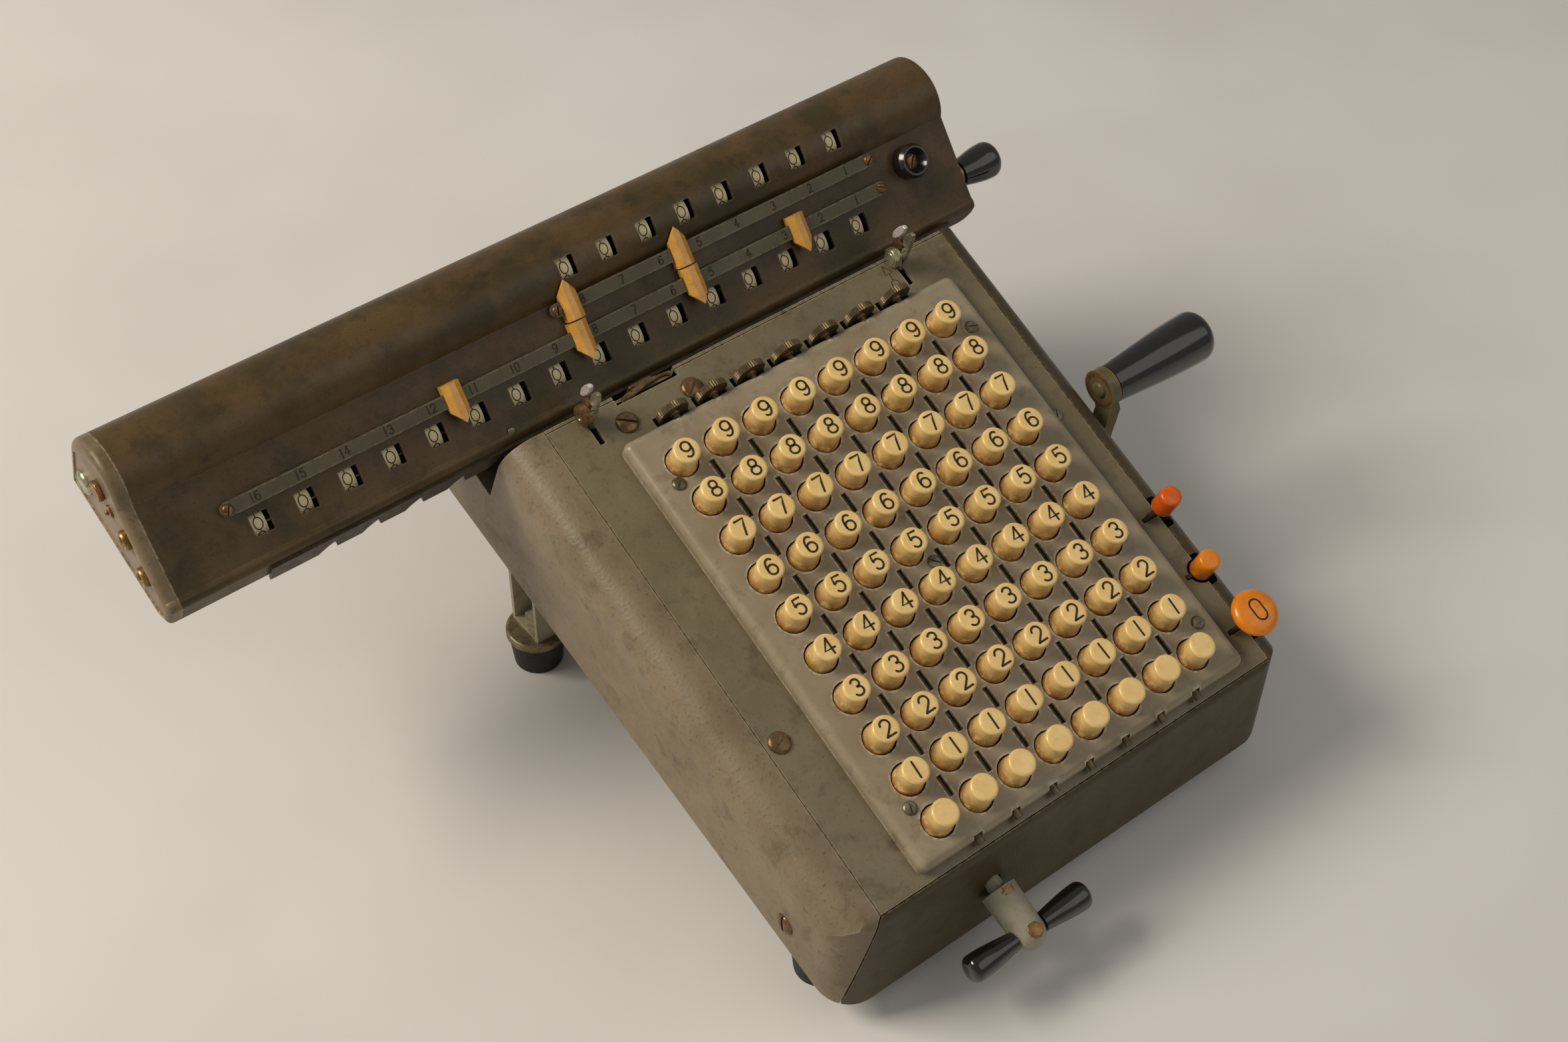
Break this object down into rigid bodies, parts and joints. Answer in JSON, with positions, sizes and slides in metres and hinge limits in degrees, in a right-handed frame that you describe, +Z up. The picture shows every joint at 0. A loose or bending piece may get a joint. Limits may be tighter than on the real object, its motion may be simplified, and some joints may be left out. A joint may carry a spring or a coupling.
{
  "type": "pinwheel calculator",
  "caption": "Hand-cranked desk calculating machine with a full keyboard, a sliding register carriage with number dials, and a side crank.",
  "frame": {"origin": "middle of the footprint of the whole machine, on the table plane under the feet", "axes": "+X to the right along the key rows, +Y to the rear, +Z up"},
  "size_m": [0.372, 0.286, 0.1606],
  "materials": {
    "casing_enamel": "worn satin enamel",
    "keyboard_enamel": "worn satin enamel",
    "carriage_enamel": "dark satin enamel",
    "frame_steel": "plain machined steel",
    "bare_steel": "worn, slightly stained steel",
    "marker_steel": "plain steel",
    "grey_painted_steel": "worn paint over steel",
    "foot_cap_metal": "dull spun metal",
    "foot_rubber": "matt",
    "black_moulding": "glossy",
    "ivory_key_plastic": "aged, satin",
    "orange_key_plastic": "glossy",
    "pointer_plastic": "aged, satin",
    "dial_white": "aged white with black figures"
  },
  "bodies": {
    "casing": {"base_plate": "casing_enamel", "left_side_shell": "casing_enamel", "right_side_shell": "casing_enamel", "front_shell": "casing_enamel", "rear_panel": "casing_enamel", "top_cover": "casing_enamel", "keyboard_plate": "keyboard_enamel", "key_guide_plate": "frame_steel", "frame_plates": "frame_steel", "frame_ties": "frame_steel", "carriage_rails": "frame_steel", "foot_caps": "foot_cap_metal", "foot_stirrups": "grey_painted_steel", "rubber_feet": "foot_rubber", "casing_screws": "bare_steel", "clips_and_catch": "bare_steel"},
    "carriage": {"carriage_cover": "carriage_enamel", "carriage_left_end": "carriage_enamel", "carriage_right_end": "carriage_enamel", "carriage_base": "carriage_enamel", "carriage_rack": "bare_steel", "scale_rails": "bare_steel", "carriage_screws": "bare_steel", "stop_button": "black_moulding", "register_shafts": "frame_steel"},
    "product_dials": {"product_dials": "dial_white"},
    "counter_dials": {"counter_dials": "dial_white"},
    "clearing_crank": {"clearing_crank": "bare_steel"},
    "clearing_grip": {"clearing_grip": "black_moulding"},
    "main_crank": {"main_crank": "grey_painted_steel"},
    "main_crank_grip": {"main_crank_grip": "black_moulding"},
    "pinwheel_rotor": {"pinwheel_rotor": "frame_steel"},
    "idler_gear_1": {"idler_gear_1": "frame_steel"},
    "idler_gear_2": {"idler_gear_2": "frame_steel"},
    "shift_handle": {"shift_handle": "grey_painted_steel", "shift_grips": "black_moulding"},
    "key_column_1": {"key_column_1": "ivory_key_plastic"},
    "key_column_2": {"key_column_2": "ivory_key_plastic"},
    "key_column_3": {"key_column_3": "ivory_key_plastic"},
    "key_column_4": {"key_column_4": "ivory_key_plastic"},
    "key_column_5": {"key_column_5": "ivory_key_plastic"},
    "key_column_6": {"key_column_6": "ivory_key_plastic"},
    "key_column_7": {"key_column_7": "ivory_key_plastic"},
    "key_column_8": {"key_column_8": "ivory_key_plastic"},
    "decimal_marker_1": {"decimal_marker_1": "marker_steel"},
    "decimal_marker_2": {"decimal_marker_2": "marker_steel"},
    "decimal_marker_3": {"decimal_marker_3": "marker_steel"},
    "decimal_marker_4": {"decimal_marker_4": "marker_steel"},
    "decimal_marker_5": {"decimal_marker_5": "marker_steel"},
    "decimal_marker_6": {"decimal_marker_6": "marker_steel"},
    "decimal_marker_7": {"decimal_marker_7": "marker_steel"},
    "upper_pointer_1": {"upper_pointer_1": "pointer_plastic"},
    "upper_pointer_2": {"upper_pointer_2": "pointer_plastic"},
    "lower_pointer_1": {"lower_pointer_1": "pointer_plastic"},
    "lower_pointer_2": {"lower_pointer_2": "pointer_plastic"},
    "lower_pointer_3": {"lower_pointer_3": "pointer_plastic"},
    "lower_pointer_4": {"lower_pointer_4": "pointer_plastic"},
    "rear_function_key": {"rear_function_key": "orange_key_plastic"},
    "middle_function_key": {"middle_function_key": "orange_key_plastic"},
    "zero_function_key": {"zero_function_key": "orange_key_plastic"}
  },
  "joints": [
    {"name": "rotor_spin", "type": "hinge", "parent": "casing", "child": "pinwheel_rotor", "pos_m": [0.1006, 0.05338, 0.08515], "axis": [1, 0, 0], "continuous": true},
    {"name": "main_crank_turn", "type": "hinge", "parent": "casing", "child": "main_crank", "pos_m": [0.1006, -0.02523, 0.05834], "axis": [1, 0, 0], "continuous": true},
    {"name": "idler_1_spin", "type": "hinge", "parent": "casing", "child": "idler_gear_1", "pos_m": [0.1006, 0.00098, 0.06728], "axis": [1, 0, 0], "continuous": true},
    {"name": "idler_2_spin", "type": "hinge", "parent": "casing", "child": "idler_gear_2", "pos_m": [0.1006, 0.02718, 0.07621], "axis": [1, 0, 0], "continuous": true},
    {"name": "main_grip_spin", "type": "hinge", "parent": "main_crank", "child": "main_crank_grip", "pos_m": [0.1282, -0.01107, 0.08749], "axis": [1, 0, 0], "continuous": true},
    {"name": "carriage_slide", "type": "slide", "parent": "casing", "child": "carriage", "axis": [1, 0, 0], "range_m": [0, 0.11113]},
    {"name": "shift_turn", "type": "hinge", "parent": "casing", "child": "shift_handle", "pos_m": [-0.0046, -0.13711, 0.02504], "axis": [0, 0.9342, 0.3567], "range_deg": [0, 1260]},
    {"name": "product_dials_spin", "type": "hinge", "parent": "carriage", "child": "product_dials", "pos_m": [-0.0194, 0.0799, 0.12311], "axis": [1, 0, 0], "continuous": true},
    {"name": "counter_dials_spin", "type": "hinge", "parent": "carriage", "child": "counter_dials", "pos_m": [-0.0194, 0.09642, 0.1494], "axis": [1, 0, 0], "continuous": true},
    {"name": "clearing_turn", "type": "hinge", "parent": "carriage", "child": "clearing_crank", "pos_m": [0.13935, 0.09384, 0.13057], "axis": [1, 0, 0], "range_deg": [0, 360]},
    {"name": "clearing_grip_spin", "type": "hinge", "parent": "clearing_crank", "child": "clearing_grip", "pos_m": [0.13935, 0.07667, 0.12508], "axis": [1, 0, 0], "continuous": true},
    {"name": "key_column_1_press", "type": "slide", "parent": "casing", "child": "key_column_1", "axis": [0, 0.3567, -0.9342], "range_m": [0, 0.0035], "stiffness_N_per_m": 400, "springref_m": -0.002},
    {"name": "key_column_2_press", "type": "slide", "parent": "casing", "child": "key_column_2", "axis": [0, 0.3567, -0.9342], "range_m": [0, 0.0035], "stiffness_N_per_m": 400, "springref_m": -0.002},
    {"name": "key_column_3_press", "type": "slide", "parent": "casing", "child": "key_column_3", "axis": [0, 0.3567, -0.9342], "range_m": [0, 0.0035], "stiffness_N_per_m": 400, "springref_m": -0.002},
    {"name": "key_column_4_press", "type": "slide", "parent": "casing", "child": "key_column_4", "axis": [0, 0.3567, -0.9342], "range_m": [0, 0.0035], "stiffness_N_per_m": 400, "springref_m": -0.002},
    {"name": "key_column_5_press", "type": "slide", "parent": "casing", "child": "key_column_5", "axis": [0, 0.3567, -0.9342], "range_m": [0, 0.0035], "stiffness_N_per_m": 400, "springref_m": -0.002},
    {"name": "key_column_6_press", "type": "slide", "parent": "casing", "child": "key_column_6", "axis": [0, 0.3567, -0.9342], "range_m": [0, 0.0035], "stiffness_N_per_m": 400, "springref_m": -0.002},
    {"name": "key_column_7_press", "type": "slide", "parent": "casing", "child": "key_column_7", "axis": [0, 0.3567, -0.9342], "range_m": [0, 0.0035], "stiffness_N_per_m": 400, "springref_m": -0.002},
    {"name": "key_column_8_press", "type": "slide", "parent": "casing", "child": "key_column_8", "axis": [0, 0.3567, -0.9342], "range_m": [0, 0.0035], "stiffness_N_per_m": 400, "springref_m": -0.002},
    {"name": "rear_function_key_press", "type": "slide", "parent": "casing", "child": "rear_function_key", "axis": [0, 0.3567, -0.9342], "range_m": [0, 0.0028], "stiffness_N_per_m": 150, "springref_m": -0.002},
    {"name": "middle_function_key_press", "type": "slide", "parent": "casing", "child": "middle_function_key", "axis": [0, 0.3567, -0.9342], "range_m": [0, 0.0028], "stiffness_N_per_m": 150, "springref_m": -0.002},
    {"name": "zero_function_key_press", "type": "slide", "parent": "casing", "child": "zero_function_key", "axis": [0, 0.3567, -0.9342], "range_m": [0, 0.0028], "stiffness_N_per_m": 150, "springref_m": -0.002},
    {"name": "decimal_marker_1_turn", "type": "hinge", "parent": "casing", "child": "decimal_marker_1", "pos_m": [-0.01036, 0.04203, 0.11796], "axis": [0, 0.9342, 0.3567], "continuous": true},
    {"name": "decimal_marker_2_turn", "type": "hinge", "parent": "casing", "child": "decimal_marker_2", "pos_m": [0.00551, 0.04203, 0.11796], "axis": [0, 0.9342, 0.3567], "continuous": true},
    {"name": "decimal_marker_3_turn", "type": "hinge", "parent": "casing", "child": "decimal_marker_3", "pos_m": [0.02139, 0.04203, 0.11796], "axis": [0, 0.9342, 0.3567], "continuous": true},
    {"name": "decimal_marker_4_turn", "type": "hinge", "parent": "casing", "child": "decimal_marker_4", "pos_m": [0.03726, 0.04203, 0.11796], "axis": [0, 0.9342, 0.3567], "continuous": true},
    {"name": "decimal_marker_5_turn", "type": "hinge", "parent": "casing", "child": "decimal_marker_5", "pos_m": [0.05314, 0.04203, 0.11796], "axis": [0, 0.9342, 0.3567], "continuous": true},
    {"name": "decimal_marker_6_turn", "type": "hinge", "parent": "casing", "child": "decimal_marker_6", "pos_m": [0.06901, 0.04203, 0.11796], "axis": [0, 0.9342, 0.3567], "continuous": true},
    {"name": "decimal_marker_7_turn", "type": "hinge", "parent": "casing", "child": "decimal_marker_7", "pos_m": [0.08489, 0.04203, 0.11796], "axis": [0, 0.9342, 0.3567], "continuous": true},
    {"name": "upper_pointer_1_slide", "type": "slide", "parent": "carriage", "child": "upper_pointer_1", "axis": [1, 0, 0], "range_m": [0, 0.015]},
    {"name": "upper_pointer_2_slide", "type": "slide", "parent": "carriage", "child": "upper_pointer_2", "axis": [1, 0, 0], "range_m": [-0.015, 0.06]},
    {"name": "lower_pointer_1_slide", "type": "slide", "parent": "carriage", "child": "lower_pointer_1", "axis": [1, 0, 0], "range_m": [-0.06, 0.018]},
    {"name": "lower_pointer_2_slide", "type": "slide", "parent": "carriage", "child": "lower_pointer_2", "axis": [1, 0, 0], "range_m": [-0.018, 0.018]},
    {"name": "lower_pointer_3_slide", "type": "slide", "parent": "carriage", "child": "lower_pointer_3", "axis": [1, 0, 0], "range_m": [-0.018, 0.018]},
    {"name": "lower_pointer_4_slide", "type": "slide", "parent": "carriage", "child": "lower_pointer_4", "axis": [1, 0, 0], "range_m": [-0.018, 0.024]}
  ],
  "couplings": [
    {"joint": "idler_2_spin", "follows": "rotor_spin", "ratio": -1},
    {"joint": "idler_1_spin", "follows": "rotor_spin", "ratio": 1},
    {"joint": "main_crank_turn", "follows": "rotor_spin", "ratio": -1},
    {"joint": "shift_turn", "follows": "carriage_slide", "rad_per_m": 197.9}
  ]
}
